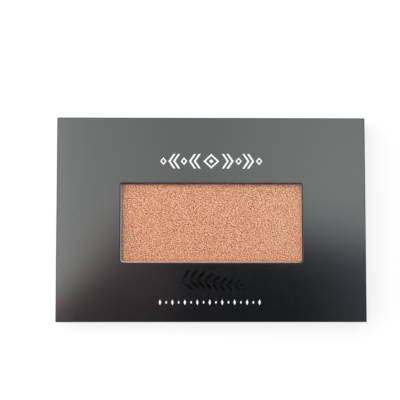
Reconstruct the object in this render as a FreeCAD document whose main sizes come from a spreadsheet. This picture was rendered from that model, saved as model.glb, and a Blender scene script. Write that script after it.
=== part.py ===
import FreeCAD, Part
import os

import Sketcher

# A pressed-powder highlighter palette: a book-style case of paper-wrapped board.  A back board
# and a spine board carry a tray of three laminated boards, and the tray's well holds a drawn
# tinplate pan of powder.  The lid is a wrapped board with a window over the powder.  It swings
# on the paper crease along its back edge and two pairs of magnets hold it shut.
#
# Frame, in millimetres: +X is the width, +Y points to the spine, +Z is up.  The origin is the
# middle of the underside, which is the face that the palette rests on.

DRIVING_SIZES = [
    ("case_width", 105.0, "overall width of the closed case"),
    ("case_depth", 69.5, "overall depth, front edge to outside of the spine"),
    ("wrap_thick", 0.2, "covering paper of case, lid and tray"),
    ("edge_radius", 0.3, "outside of a fold of the covering paper"),
    ("turn_in_width", 12.0, "paper folded behind a board's outer edge"),
    ("mitre_gap", 0.4, "slit between two turn-ins at a corner"),
    ("back_board_thick", 1.5, "board under the tray"),
    ("spine_board_thick", 1.5, "upright board at the back"),
    ("fold_gap", 0.2, "space between back board and spine, for the fold"),
    ("lining_thick", 0.2, "paper that lines the inside of the spine"),
    ("lining_inset", 1.5, "lining paper to the ends of the spine"),
    ("cover_overhang", 1.0, "lid and back board beyond the tray"),
    ("floor_board_thick", 2.0, "board under the pan"),
    ("pan_width", 61.9, "outside of the pan"),
    ("pan_height", 27.6, "outside of the pan, front to back"),
    ("pan_depth", 4.0, "rim to underside"),
    ("pan_wall", 0.3, "tinplate thickness"),
    ("pan_corner_radius", 1.2, "outside corner, seen from above"),
    ("pan_base_radius", 0.9, "outside radius between wall and floor"),
    ("pan_rim_chamfer", 0.08, "edge of the rim, deburred"),
    ("pan_centre_y", -0.8, "middle of the pan from the middle of the case"),
    ("pan_fit_gap", 0.15, "between the pan and the paper of the well"),
    ("rim_recess", 0.05, "pan rim below the tray's deck"),
    ("glue_thick", 0.15, "glue spots under the pan"),
    ("glue_diameter", 9.0, "glue spot"),
    ("glue_spacing", 20.0, "between glue spots"),
    ("powder_recess", 0.4, "pressed face below the rim"),
    ("powder_ridge_recess", 0.2, "top of the loose ridge below the rim"),
    ("powder_ridge_width", 0.35, "ridge of powder between the press die and the pan"),
    ("powder_ridge_radius", 0.1, "crest of the ridge"),
    ("magnet_diameter", 8.0, "disc magnet"),
    ("magnet_thick", 1.0, "disc magnet"),
    ("magnet_fit_gap", 0.1, "pocket around and under a magnet"),
    ("magnet_spacing", 76.0, "between the left and right magnets"),
    ("magnet_from_front", 9.0, "magnet axis from the front edge of the case"),
    ("closing_gap", 0.1, "between the closed lid and the deck"),
    ("liner_thick", 0.4, "card inside the lid"),
    ("liner_inset", 2.0, "liner card to the lid's front, left and right edges"),
    ("liner_window_relief", 0.5, "liner opening beyond the window"),
    ("film_thick", 0.2, "clear window film"),
    ("film_overlap", 4.0, "film beyond the window"),
    ("film_fit_gap", 0.1, "film to the rebate in the liner"),
    ("film_corner_radius", 1.0, "corner of the film"),
    ("lid_board_thick", 1.5, "board of the lid"),
    ("window_width", 62.0, "window through the lid"),
    ("window_height", 27.2, "window, front to back"),
    ("window_radius", 0.8, "window corner"),
    ("window_centre_y", -1.3, "middle of the window from the middle of the case"),
    ("window_turn_in", 6.0, "paper folded behind the window's edge"),
]

doc = FreeCAD.newDocument("highlighter_palette")

sheet = doc.addObject("Spreadsheet::Sheet", "Sizes")
for row, (alias, value, meaning) in enumerate(DRIVING_SIZES, start=1):
    sheet.set(f"A{row}", alias)
    sheet.set(f"B{row}", str(value))
    sheet.set(f"C{row}", meaning)
    sheet.setAlias(f"B{row}", alias)
doc.recompute()

# Places in plan, as expressions on the sheet.  The case is the same to left and right.
CASE_SIDE = "(Sizes.case_width / 2)"
CASE_BACK = "(Sizes.case_depth / 2)"
CASE_FRONT = f"(-{CASE_BACK})"
BOARD_SIDE = f"({CASE_SIDE} - Sizes.wrap_thick)"
BOARD_FRONT = f"({CASE_FRONT} + Sizes.wrap_thick)"
BOARD_BACK = f"({CASE_BACK} - Sizes.wrap_thick)"
TURN_IN_SIDE = f"({CASE_SIDE} - Sizes.turn_in_width)"
TURN_IN_FRONT = f"({CASE_FRONT} + Sizes.turn_in_width)"
SPINE_INSIDE = f"({BOARD_BACK} - Sizes.spine_board_thick)"
SPINE_PAPER_INSIDE = f"({SPINE_INSIDE} - Sizes.wrap_thick)"
LINING_INSIDE = f"({SPINE_PAPER_INSIDE} - Sizes.lining_thick)"
LINING_SIDE = f"({CASE_SIDE} - Sizes.lining_inset)"
BACK_BOARD_END = f"({SPINE_PAPER_INSIDE} - Sizes.fold_gap)"
TRAY_SIDE = f"({CASE_SIDE} - Sizes.cover_overhang)"
TRAY_FRONT = f"({CASE_FRONT} + Sizes.cover_overhang)"
TRAY_BACK = LINING_INSIDE
CORE_SIDE = f"({TRAY_SIDE} - Sizes.wrap_thick)"
CORE_FRONT = f"({TRAY_FRONT} + Sizes.wrap_thick)"
CORE_BACK = f"({TRAY_BACK} - Sizes.wrap_thick)"
TRAY_TURN_IN_SIDE = f"({TRAY_SIDE} - Sizes.turn_in_width)"
TRAY_TURN_IN_FRONT = f"({TRAY_FRONT} + Sizes.turn_in_width)"
TRAY_TURN_IN_BACK = f"({TRAY_BACK} - Sizes.turn_in_width)"
MAGNET_SIDE = "(Sizes.magnet_spacing / 2)"
MAGNET_Y = f"({CASE_FRONT} + Sizes.magnet_from_front)"

# Heights, from the table upward.
BACK_BOARD_BOTTOM = "Sizes.wrap_thick"
BACK_BOARD_TOP = f"({BACK_BOARD_BOTTOM} + Sizes.back_board_thick)"
TRAY_BOTTOM = f"({BACK_BOARD_TOP} + Sizes.wrap_thick)"
CORE_BOTTOM = f"({TRAY_BOTTOM} + Sizes.wrap_thick)"
WELL_FLOOR = f"({CORE_BOTTOM} + Sizes.floor_board_thick)"
WELL_DEPTH = "(Sizes.glue_thick + Sizes.pan_depth + Sizes.rim_recess - Sizes.wrap_thick)"
WELL_BOARD_THICK = f"({WELL_DEPTH} / 2)"
WELL_STEP = f"({WELL_FLOOR} + {WELL_BOARD_THICK})"
CORE_TOP = f"({WELL_FLOOR} + {WELL_DEPTH})"
DECK = f"({CORE_TOP} + Sizes.wrap_thick)"
LID_BOTTOM = f"({DECK} + Sizes.closing_gap)"
LINER_TOP = f"({LID_BOTTOM} + Sizes.liner_thick)"
LID_BOARD_BOTTOM = f"({LINER_TOP} + Sizes.wrap_thick)"
LID_BOARD_TOP = f"({LID_BOARD_BOTTOM} + Sizes.lid_board_thick)"

# Thicknesses that follow from the boards and papers.
WRAPPED_BACK_THICK = TRAY_BOTTOM
WRAPPED_SPINE_THICK = "(Sizes.spine_board_thick + 2 * Sizes.wrap_thick)"
WRAPPED_LID_THICK = "(Sizes.lid_board_thick + 2 * Sizes.wrap_thick)"
MAGNET_POCKET_DEPTH = "(Sizes.magnet_thick + Sizes.magnet_fit_gap)"
MAGNET_POCKET_RADIUS = "(Sizes.magnet_diameter / 2 + Sizes.magnet_fit_gap)"

# A sketch starts from these rough coordinates, and its constraints move it to the real ones.
ROUGH_HALF_WIDTH = sheet.case_width / 4
ROUGH_HALF_DEPTH = sheet.case_depth / 4
ROUGH_RADIUS = sheet.window_radius

TOLERANCE = 1e-6


def origin_plane(body, role):
    """The origin plane of a body with the given role."""
    return next(plane for plane in body.Origin.OriginFeatures if plane.Role == role)


def new_body(label, height):
    """An empty body whose own floor stands at the given height."""
    body = doc.addObject("PartDesign::Body", label)
    body.Label = label
    body.setExpression("Placement.Base.z", height)
    return body


def new_sketch(body, name, height="0", role="XY_Plane"):
    """A sketch parallel to one of the body's origin planes, at a height above it."""
    sketch = body.newObject("Sketcher::SketchObject", name)
    sketch.AttachmentSupport = (origin_plane(body, role), "")
    sketch.MapMode = "FlatFace"
    sketch.setExpression("AttachmentOffset.Base.z", height)
    return sketch


def fix(sketch, kind, name, expression, *references):
    """Add one named dimension and bind it to an expression."""
    index = sketch.addConstraint(Sketcher.Constraint(kind, *references, 1.0))
    sketch.renameConstraint(index, name)
    sketch.setExpression(f"Constraints.{name}", expression)


def place_point(sketch, name, line, x, y):
    """Fix the start of a line at x and y, measured from the sketch's origin."""
    fix(sketch, "DistanceX", f"{name}_x", x, -1, 1, line, 1)
    fix(sketch, "DistanceY", f"{name}_y", y, -1, 1, line, 1)


def add_polygon(sketch, name, points):
    """A closed outline through points given as pairs of expressions, counter-clockwise."""
    rough = [FreeCAD.Vector(ROUGH_HALF_WIDTH, 0, 0)]
    turn = FreeCAD.Rotation(FreeCAD.Vector(0, 0, 1), 360 / len(points))
    for _ in points[1:]:
        rough.append(turn.multVec(rough[-1]))
    lines = []
    for start, end in zip(rough, rough[1:] + rough[:1]):
        lines.append(sketch.addGeometry(Part.LineSegment(start, end)))
    for line, following in zip(lines, lines[1:] + lines[:1]):
        sketch.addConstraint(Sketcher.Constraint("Coincident", line, 2, following, 1))
    for number, (line, (x, y)) in enumerate(zip(lines, points)):
        place_point(sketch, f"{name}{number}", line, x, y)


def add_rectangle(sketch, name, left, right, front, back):
    """A rectangle given by the places of its four sides."""
    corners = [(left, front), (right, front), (right, back), (left, back)]
    add_polygon(sketch, name, corners)


def add_rounded_rectangle(sketch, name, left, right, front, back, radius):
    """A rectangle with four equal round corners, given by its sides and the radius."""
    inner_x = ROUGH_HALF_WIDTH - ROUGH_RADIUS
    inner_y = ROUGH_HALF_DEPTH - ROUGH_RADIUS
    corner_signs = [(1, -1), (1, 1), (-1, 1), (-1, -1)]
    arcs = []
    for quarter, (sign_x, sign_y) in enumerate(corner_signs, start=-1):
        centre = FreeCAD.Vector(sign_x * inner_x, sign_y * inner_y, 0)
        circle = Part.Circle(centre, FreeCAD.Vector(0, 0, 1), ROUGH_RADIUS)
        start = FreeCAD.Units.Quantity(f"{90 * quarter} deg").getValueAs("rad").Value
        end = FreeCAD.Units.Quantity(f"{90 * quarter + 90} deg").getValueAs("rad").Value
        arcs.append(sketch.addGeometry(Part.ArcOfCircle(circle, start, end)))
    sides = []
    for before, after in zip(arcs[-1:] + arcs[:-1], arcs):
        start = sketch.getPoint(before, 2)
        end = sketch.getPoint(after, 1)
        side = sketch.addGeometry(Part.LineSegment(start, end))
        sketch.addConstraint(Sketcher.Constraint("Tangent", before, 2, side, 1))
        sketch.addConstraint(Sketcher.Constraint("Tangent", side, 2, after, 1))
        sides.append(side)
    front_side, right_side, back_side, left_side = sides
    for side in (front_side, back_side):
        sketch.addConstraint(Sketcher.Constraint("Horizontal", side))
    for side in (left_side, right_side):
        sketch.addConstraint(Sketcher.Constraint("Vertical", side))
    for arc in arcs[1:]:
        sketch.addConstraint(Sketcher.Constraint("Equal", arcs[0], arc))
    fix(sketch, "Radius", f"{name}_radius", radius, arcs[0])
    fix(sketch, "DistanceX", f"{name}_left", left, -1, 1, left_side, 1)
    fix(sketch, "DistanceX", f"{name}_right", right, -1, 1, right_side, 1)
    fix(sketch, "DistanceY", f"{name}_front", front, -1, 1, front_side, 1)
    fix(sketch, "DistanceY", f"{name}_back", back, -1, 1, back_side, 1)


def add_circle(sketch, name, x, y, radius):
    """A circle with its centre and radius bound."""
    circle = Part.Circle(FreeCAD.Vector(0, 0, 0), FreeCAD.Vector(0, 0, 1), ROUGH_RADIUS)
    index = sketch.addGeometry(circle)
    fix(sketch, "DistanceX", f"{name}_x", x, -1, 1, index, 3)
    fix(sketch, "DistanceY", f"{name}_y", y, -1, 1, index, 3)
    fix(sketch, "Radius", f"{name}_radius", radius, index)


def add_pad(body, sketch, length, downward=False, centred=False):
    """Extrude a sketch into solid, to one side of its plane or equally to both."""
    pad = body.newObject("PartDesign::Pad", f"{sketch.Name}_pad")
    pad.Profile = sketch
    pad.Reversed = downward
    pad.Midplane = centred
    pad.setExpression("Length", length)
    doc.recompute()
    return pad


def add_pocket(body, sketch, length):
    """Cut a sketch upward out of the solid."""
    pocket = body.newObject("PartDesign::Pocket", f"{sketch.Name}_pocket")
    pocket.Profile = sketch
    pocket.Reversed = True
    pocket.setExpression("Length", length)
    doc.recompute()
    return pocket


def edges_of(feature, wanted):
    """The names of the edges that the test picks."""
    edges = enumerate(feature.Shape.Edges, start=1)
    return [f"Edge{number}" for number, edge in edges if wanted(edge)]


def add_fillet(body, base, name, radius, wanted):
    """Round every edge of the base feature that the test picks."""
    fillet = body.newObject("PartDesign::Fillet", name)
    fillet.Base = (base, edges_of(base, wanted))
    fillet.setExpression("Radius", radius)
    doc.recompute()
    return fillet


def is_level(edge, height):
    """True for an edge that lies at one height."""
    box = edge.BoundBox
    return abs(box.ZMin - height) < TOLERANCE and abs(box.ZMax - height) < TOLERANCE


def is_inside(edge, box):
    """True for an edge that touches no side of the bounding box."""
    own = edge.BoundBox
    clear_in_x = own.XMin > box.XMin + TOLERANCE and own.XMax < box.XMax - TOLERANCE
    clear_in_y = own.YMin > box.YMin + TOLERANCE and own.YMax < box.YMax - TOLERANCE
    return clear_in_x and clear_in_y


def is_corner(edge, box):
    """True for an upright edge at a corner of the bounding box."""
    middle = edge.BoundBox.Center
    upright = edge.BoundBox.ZLength > edge.BoundBox.XLength + edge.BoundBox.YLength
    at_side = abs(abs(middle.x - box.Center.x) - box.XLength / 2) < TOLERANCE
    at_end = abs(abs(middle.y - box.Center.y) - box.YLength / 2) < TOLERANCE
    return upright and at_side and at_end


def sides_around(width, height, centre_y, grow="0"):
    """The four sides of an outline about the case's middle plane, grown outward."""
    half_width = f"({width} / 2 + {grow})"
    half_height = f"({height} / 2 + {grow})"
    left = f"(-{half_width})"
    front = f"({centre_y} - {half_height})"
    back = f"({centre_y} + {half_height})"
    return left, half_width, front, back


def window_sides(grow="0"):
    """The window's outline, grown outward."""
    return sides_around("Sizes.window_width", "Sizes.window_height", "Sizes.window_centre_y", grow)


def pan_sides(grow="0"):
    """The pan's outside, grown outward."""
    return sides_around("Sizes.pan_width", "Sizes.pan_height", "Sizes.pan_centre_y", grow)


def add_mitres(body, name, height, side, end, depth, toward_back=False):
    """Slit the turn-ins along the diagonals of the two corners at one end of a wrap."""
    sketch = new_sketch(body, name, height)
    inward = "-" if toward_back else "+"
    slit = "Sizes.mitre_gap"
    inner_x = f"{side} - {depth} - {slit}"
    inner_y = f"{end} {inward} ({depth} + {slit})"
    outer_x = f"{side} - Sizes.edge_radius - {slit}"
    outer_y = f"{end} {inward} (Sizes.edge_radius + {slit})"
    for hand, sign in (("left", "-1"), ("right", "1")):
        points = [
            (f"{sign} * ({inner_x} - {slit} / 2)", inner_y),
            (f"{sign} * ({inner_x} + {slit} / 2)", inner_y),
            (f"{sign} * ({outer_x} + {slit} / 2)", outer_y),
            (f"{sign} * ({outer_x} - {slit} / 2)", outer_y),
        ]
        add_polygon(sketch, hand, points)
    return add_pocket(body, sketch, "Sizes.wrap_thick")


def make_back_board():
    body = new_body("back_board", BACK_BOARD_BOTTOM)
    outline = new_sketch(body, "back_board_outline")
    sides = (f"(-{BOARD_SIDE})", BOARD_SIDE, BOARD_FRONT, BACK_BOARD_END)
    add_rectangle(outline, "edge", *sides)
    add_pad(body, outline, "Sizes.back_board_thick")
    return body


def make_spine_board():
    body = new_body("spine_board", BACK_BOARD_BOTTOM)
    outline = new_sketch(body, "spine_board_outline")
    add_rectangle(outline, "edge", f"(-{BOARD_SIDE})", BOARD_SIDE, SPINE_INSIDE, BOARD_BACK)
    add_pad(body, outline, f"({CORE_TOP} - {BACK_BOARD_BOTTOM})")
    return body


def make_case_wrap():
    """One sheet under the back board and up the spine, turned in along every free edge."""
    body = new_body("case_wrap", "0")
    back = new_sketch(body, "case_wrap_back")
    add_rectangle(back, "edge", f"(-{CASE_SIDE})", CASE_SIDE, CASE_FRONT, CASE_BACK)
    add_pad(body, back, WRAPPED_BACK_THICK)
    spine = new_sketch(body, "case_wrap_spine")
    add_rectangle(spine, "edge", f"(-{CASE_SIDE})", CASE_SIDE, SPINE_PAPER_INSIDE, CASE_BACK)
    block = add_pad(body, spine, DECK)
    box = block.Shape.BoundBox
    add_fillet(body, block, "case_wrap_folds", "Sizes.edge_radius",
               lambda edge: is_corner(edge, box) or is_level(edge, box.ZMin))
    board_room = new_sketch(body, "case_wrap_back_room", BACK_BOARD_BOTTOM)
    add_rectangle(board_room, "edge", f"(-{BOARD_SIDE})", BOARD_SIDE, BOARD_FRONT,
                  SPINE_PAPER_INSIDE)
    add_pocket(body, board_room, "Sizes.back_board_thick")
    opening = new_sketch(body, "case_wrap_back_opening", BACK_BOARD_TOP)
    add_rectangle(opening, "edge", f"(-{TURN_IN_SIDE})", TURN_IN_SIDE, TURN_IN_FRONT,
                  SPINE_PAPER_INSIDE)
    add_pocket(body, opening, "Sizes.wrap_thick")
    spine_room = new_sketch(body, "case_wrap_spine_room", BACK_BOARD_BOTTOM)
    add_rectangle(spine_room, "edge", f"(-{BOARD_SIDE})", BOARD_SIDE, SPINE_INSIDE, BOARD_BACK)
    add_pocket(body, spine_room, f"({CORE_TOP} - {BACK_BOARD_BOTTOM})")
    spine_opening = new_sketch(body, "case_wrap_spine_opening", BACK_BOARD_BOTTOM)
    add_rectangle(spine_opening, "edge", f"(-{TURN_IN_SIDE})", TURN_IN_SIDE,
                  SPINE_PAPER_INSIDE, SPINE_INSIDE)
    add_pocket(body, spine_opening, DECK)
    lining_room = new_sketch(body, "case_wrap_lining_room", CORE_TOP)
    add_rectangle(lining_room, "edge", f"(-{LINING_SIDE})", LINING_SIDE, SPINE_PAPER_INSIDE,
                  BOARD_BACK)
    add_pocket(body, lining_room, "Sizes.wrap_thick")
    add_mitres(body, "case_wrap_mitres", BACK_BOARD_TOP, CASE_SIDE, CASE_FRONT,
               "Sizes.turn_in_width")
    return body


def make_hinge_lining():
    """The paper between the spine and the tray, folded over the spine's top to the crease."""
    body = new_body("hinge_lining", TRAY_BOTTOM)
    profile = new_sketch(body, "hinge_lining_profile", role="YZ_Plane")
    top = f"({DECK} - {TRAY_BOTTOM})"
    fold_underside = f"({CORE_TOP} - {TRAY_BOTTOM})"
    points = [
        (LINING_INSIDE, "0"),
        (SPINE_PAPER_INSIDE, "0"),
        (SPINE_PAPER_INSIDE, fold_underside),
        (BOARD_BACK, fold_underside),
        (BOARD_BACK, top),
        (LINING_INSIDE, top),
    ]
    add_polygon(profile, "fold", points)
    add_pad(body, profile, f"(2 * {LINING_SIDE})", centred=True)
    return body


def core_board(label, height, thick, has_well):
    """One of the tray's laminated boards, with or without the opening for the pan."""
    body = new_body(label, height)
    outline = new_sketch(body, f"{label}_outline")
    add_rectangle(outline, "edge", f"(-{CORE_SIDE})", CORE_SIDE, CORE_FRONT, CORE_BACK)
    if has_well:
        grow = "(Sizes.pan_fit_gap + Sizes.wrap_thick)"
        radius = f"(Sizes.pan_corner_radius + {grow})"
        add_rounded_rectangle(outline, "well", *pan_sides(grow), radius)
    add_pad(body, outline, thick)
    return body


def make_tray_boards():
    floor_board = core_board("tray_floor_board", CORE_BOTTOM, "Sizes.floor_board_thick", False)
    lower_board = core_board("tray_lower_board", WELL_FLOOR, WELL_BOARD_THICK, True)
    upper_board = core_board("tray_upper_board", WELL_STEP, WELL_BOARD_THICK, True)
    pockets = new_sketch(upper_board, "tray_magnet_pockets",
                         f"({WELL_BOARD_THICK} - {MAGNET_POCKET_DEPTH})")
    for hand, sign in (("left", "-1"), ("right", "1")):
        add_circle(pockets, hand, f"{sign} * {MAGNET_SIDE}", MAGNET_Y, MAGNET_POCKET_RADIUS)
    add_pocket(upper_board, pockets, MAGNET_POCKET_DEPTH)
    return [floor_board, lower_board, upper_board]


def make_tray_wrap():
    """The tray's sheet: deck, four sides, turn-ins below and flaps down into the well."""
    body = new_body("tray_wrap", TRAY_BOTTOM)
    core_bottom = "Sizes.wrap_thick"
    well_floor = f"({WELL_FLOOR} - {TRAY_BOTTOM})"
    deck = f"({DECK} - {TRAY_BOTTOM})"
    outline = new_sketch(body, "tray_wrap_outline")
    add_rectangle(outline, "edge", f"(-{TRAY_SIDE})", TRAY_SIDE, TRAY_FRONT, TRAY_BACK)
    block = add_pad(body, outline, deck)
    box = block.Shape.BoundBox
    add_fillet(body, block, "tray_wrap_folds", "Sizes.edge_radius",
               lambda edge: is_corner(edge, box) or is_level(edge, box.ZMax))
    opening = new_sketch(body, "tray_wrap_opening")
    add_rectangle(opening, "edge", f"(-{TRAY_TURN_IN_SIDE})", TRAY_TURN_IN_SIDE,
                  TRAY_TURN_IN_FRONT, TRAY_TURN_IN_BACK)
    add_pocket(body, opening, core_bottom)
    floor_room = new_sketch(body, "tray_wrap_floor_room", core_bottom)
    add_rectangle(floor_room, "edge", f"(-{CORE_SIDE})", CORE_SIDE, CORE_FRONT, CORE_BACK)
    add_pocket(body, floor_room, "Sizes.floor_board_thick")
    board_room = new_sketch(body, "tray_wrap_board_room", well_floor)
    add_rectangle(board_room, "edge", f"(-{CORE_SIDE})", CORE_SIDE, CORE_FRONT, CORE_BACK)
    grow = "(Sizes.pan_fit_gap + Sizes.wrap_thick)"
    radius = f"(Sizes.pan_corner_radius + {grow})"
    add_rounded_rectangle(board_room, "flap", *pan_sides(grow), radius)
    add_pocket(body, board_room, WELL_DEPTH)
    well = new_sketch(body, "tray_wrap_well", well_floor)
    radius = "(Sizes.pan_corner_radius + Sizes.pan_fit_gap)"
    add_rounded_rectangle(well, "edge", *pan_sides("Sizes.pan_fit_gap"), radius)
    sunk = add_pocket(body, well, f"({WELL_DEPTH} + Sizes.wrap_thick)")
    add_fillet(body, sunk, "tray_wrap_well_fold", "Sizes.wrap_thick",
               lambda edge: is_level(edge, box.ZMax) and is_inside(edge, box))
    add_mitres(body, "tray_wrap_front_mitres", "0", TRAY_SIDE, TRAY_FRONT,
               "Sizes.turn_in_width")
    add_mitres(body, "tray_wrap_back_mitres", "0", TRAY_SIDE, TRAY_BACK,
               "Sizes.turn_in_width", toward_back=True)
    return body


def make_pan():
    """A drawn tinplate pan: a block with a rounded floor, shelled from its open top."""
    body = new_body("pan", f"({WELL_FLOOR} + Sizes.glue_thick)")
    outline = new_sketch(body, "pan_outline")
    add_rounded_rectangle(outline, "edge", *pan_sides(), "Sizes.pan_corner_radius")
    block = add_pad(body, outline, "Sizes.pan_depth")
    drawn = add_fillet(body, block, "pan_base_fillet", "Sizes.pan_base_radius",
                       lambda edge: is_level(edge, block.Shape.BoundBox.ZMin))
    top = drawn.Shape.BoundBox.ZMax
    faces = enumerate(drawn.Shape.Faces, start=1)
    open_face = [f"Face{number}" for number, face in faces if is_level(face, top)]
    shell = body.newObject("PartDesign::Thickness", "pan_shell")
    shell.Base = (drawn, open_face)
    shell.Reversed = True
    shell.setExpression("Value", "Sizes.pan_wall")
    doc.recompute()
    rim = body.newObject("PartDesign::Chamfer", "pan_rim_chamfer")
    rim.Base = (shell, edges_of(shell, lambda edge: is_level(edge, top)))
    rim.setExpression("Size", "Sizes.pan_rim_chamfer")
    doc.recompute()
    return body


def make_powder_cake():
    """The powder, which fills the pan.  The press die leaves a thin ridge along the wall."""
    body = new_body("powder_cake", f"({WELL_FLOOR} + Sizes.glue_thick + Sizes.pan_wall)")
    outline = new_sketch(body, "powder_outline")
    add_rounded_rectangle(outline, "edge", *pan_sides("-Sizes.pan_wall"),
                          "(Sizes.pan_corner_radius - Sizes.pan_wall)")
    inside_depth = "Sizes.pan_depth - Sizes.pan_wall"
    block = add_pad(body, outline, f"({inside_depth} - Sizes.powder_ridge_recess)")
    box = block.Shape.BoundBox
    add_fillet(body, block, "powder_base_fillet", "(Sizes.pan_base_radius - Sizes.pan_wall)",
               lambda edge: is_level(edge, box.ZMin))
    die = new_sketch(body, "powder_die", f"({inside_depth} - Sizes.powder_recess)")
    die_inset = "(Sizes.pan_wall + Sizes.powder_ridge_width)"
    add_rounded_rectangle(die, "edge", *pan_sides(f"-{die_inset}"),
                          f"(Sizes.pan_corner_radius - {die_inset})")
    pressed = add_pocket(body, die, "(Sizes.powder_recess - Sizes.powder_ridge_recess)")
    add_fillet(body, pressed, "powder_ridge_fillet", "Sizes.powder_ridge_radius",
               lambda edge: is_level(edge, box.ZMax) and is_inside(edge, box))
    return body


def group_of_discs(label, places, diameter, thick, height):
    """Equal upright discs at places in plan, kept together as separate solids."""
    discs = []
    for number, (x, y) in enumerate(places, start=1):
        disc = doc.addObject("Part::Cylinder", f"{label}_{number}")
        disc.setExpression("Radius", f"{diameter} / 2")
        disc.setExpression("Height", thick)
        disc.setExpression("Placement.Base.x", x)
        disc.setExpression("Placement.Base.y", y)
        disc.setExpression("Placement.Base.z", height)
        discs.append(disc)
    group = doc.addObject("Part::Compound", label)
    group.Label = label
    group.Links = discs
    return group


def make_glue_spots():
    columns = ("-Sizes.glue_spacing", "0", "Sizes.glue_spacing")
    places = [(x, "Sizes.pan_centre_y") for x in columns]
    return group_of_discs("pan_glue_spots", places, "Sizes.glue_diameter", "Sizes.glue_thick",
                          WELL_FLOOR)


def make_magnets(label, height):
    places = [(f"-{MAGNET_SIDE}", MAGNET_Y), (MAGNET_SIDE, MAGNET_Y)]
    return group_of_discs(label, places, "Sizes.magnet_diameter", "Sizes.magnet_thick", height)


def make_lid_board():
    body = new_body("lid_board", LID_BOARD_BOTTOM)
    outline = new_sketch(body, "lid_board_outline")
    add_rectangle(outline, "edge", f"(-{BOARD_SIDE})", BOARD_SIDE, BOARD_FRONT, BOARD_BACK)
    add_rounded_rectangle(outline, "window", *window_sides("Sizes.wrap_thick"),
                          "(Sizes.window_radius + Sizes.wrap_thick)")
    add_pad(body, outline, "Sizes.lid_board_thick")
    pockets = new_sketch(body, "lid_magnet_pockets")
    for hand, sign in (("left", "-1"), ("right", "1")):
        add_circle(pockets, hand, f"{sign} * {MAGNET_SIDE}", MAGNET_Y, MAGNET_POCKET_RADIUS)
    add_pocket(body, pockets, MAGNET_POCKET_DEPTH)
    return body


def make_lid_wrap():
    """The lid's sheet: face, edges, turn-ins, the window's flaps and the flange at the crease."""
    body = new_body("lid_wrap", LINER_TOP)
    board_bottom = "Sizes.wrap_thick"
    outline = new_sketch(body, "lid_wrap_outline")
    add_rectangle(outline, "edge", f"(-{CASE_SIDE})", CASE_SIDE, CASE_FRONT, CASE_BACK)
    add_pad(body, outline, WRAPPED_LID_THICK)
    flange = new_sketch(body, "lid_wrap_flange")
    add_rectangle(flange, "edge", f"(-{CASE_SIDE})", CASE_SIDE, BOARD_BACK, CASE_BACK)
    block = add_pad(body, flange, "Sizes.liner_thick", downward=True)
    box = block.Shape.BoundBox
    add_fillet(body, block, "lid_wrap_folds", "Sizes.edge_radius",
               lambda edge: is_corner(edge, box) or is_level(edge, box.ZMax))
    opening = new_sketch(body, "lid_wrap_opening")
    add_rectangle(opening, "edge", f"(-{TURN_IN_SIDE})", TURN_IN_SIDE, TURN_IN_FRONT, BOARD_BACK)
    add_rectangle(opening, "flap", *window_sides("Sizes.window_turn_in"))
    add_pocket(body, opening, "Sizes.wrap_thick")
    board_room = new_sketch(body, "lid_wrap_board_room", board_bottom)
    add_rectangle(board_room, "edge", f"(-{BOARD_SIDE})", BOARD_SIDE, BOARD_FRONT, BOARD_BACK)
    add_rounded_rectangle(board_room, "window", *window_sides("Sizes.wrap_thick"),
                          "(Sizes.window_radius + Sizes.wrap_thick)")
    add_pocket(body, board_room, "Sizes.lid_board_thick")
    window = new_sketch(body, "lid_wrap_window")
    add_rounded_rectangle(window, "edge", *window_sides(), "Sizes.window_radius")
    cut = add_pocket(body, window, WRAPPED_LID_THICK)
    add_fillet(body, cut, "lid_wrap_window_fold", "Sizes.wrap_thick",
               lambda edge: is_level(edge, box.ZMax) and is_inside(edge, box))
    add_mitres(body, "lid_wrap_mitres", "0", CASE_SIDE, CASE_FRONT, "Sizes.turn_in_width")
    return body


def make_window_film():
    body = new_body("window_film", f"({LINER_TOP} - Sizes.film_thick)")
    outline = new_sketch(body, "window_film_outline")
    add_rounded_rectangle(outline, "edge", *window_sides("Sizes.film_overlap"),
                          "Sizes.film_corner_radius")
    add_pad(body, outline, "Sizes.film_thick")
    return body


def make_lid_liner():
    """The card inside the lid, rebated around its opening to hold the film."""
    body = new_body("lid_liner", LID_BOTTOM)
    outline = new_sketch(body, "lid_liner_outline")
    inset = "Sizes.liner_inset"
    add_rectangle(outline, "edge", f"({inset} - {CASE_SIDE})", f"({CASE_SIDE} - {inset})",
                  f"({CASE_FRONT} + {inset})", BOARD_BACK)
    add_rounded_rectangle(outline, "window", *window_sides("Sizes.liner_window_relief"),
                          "(Sizes.window_radius + Sizes.liner_window_relief)")
    add_pad(body, outline, "Sizes.liner_thick")
    rebate = new_sketch(body, "lid_liner_rebate", "(Sizes.liner_thick - Sizes.film_thick)")
    add_rounded_rectangle(rebate, "edge",
                          *window_sides("(Sizes.film_overlap + Sizes.film_fit_gap)"),
                          "(Sizes.film_corner_radius + Sizes.film_fit_gap)")
    add_pocket(body, rebate, "Sizes.film_thick")
    return body


sub_parts = [
    make_case_wrap(),
    make_back_board(),
    make_spine_board(),
    make_hinge_lining(),
    *make_tray_boards(),
    make_tray_wrap(),
    make_magnets("tray_magnets", f"({CORE_TOP} - {MAGNET_POCKET_DEPTH})"),
    make_glue_spots(),
    make_pan(),
    make_powder_cake(),
    make_lid_liner(),
    make_window_film(),
    make_lid_board(),
    make_magnets("lid_magnets", f"({LID_BOARD_BOTTOM} + Sizes.magnet_fit_gap)"),
    make_lid_wrap(),
]
doc.recompute()

faults = [item.Label for item in doc.Objects
          if "Invalid" in item.State or "Error" in item.State]
for item in doc.Objects:
    if item.TypeId == "PartDesign::Pocket":
        before = item.BaseFeature.Shape.Volume
        if item.Shape.Volume > before - TOLERANCE:
            faults.append(f"{item.Label} cuts nothing")
for sub_part in sub_parts:
    if sub_part.Shape.isNull() or not sub_part.Shape.isValid():
        faults.append(f"{sub_part.Label} has no sound shape")
if faults:
    raise RuntimeError("; ".join(faults))

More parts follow.
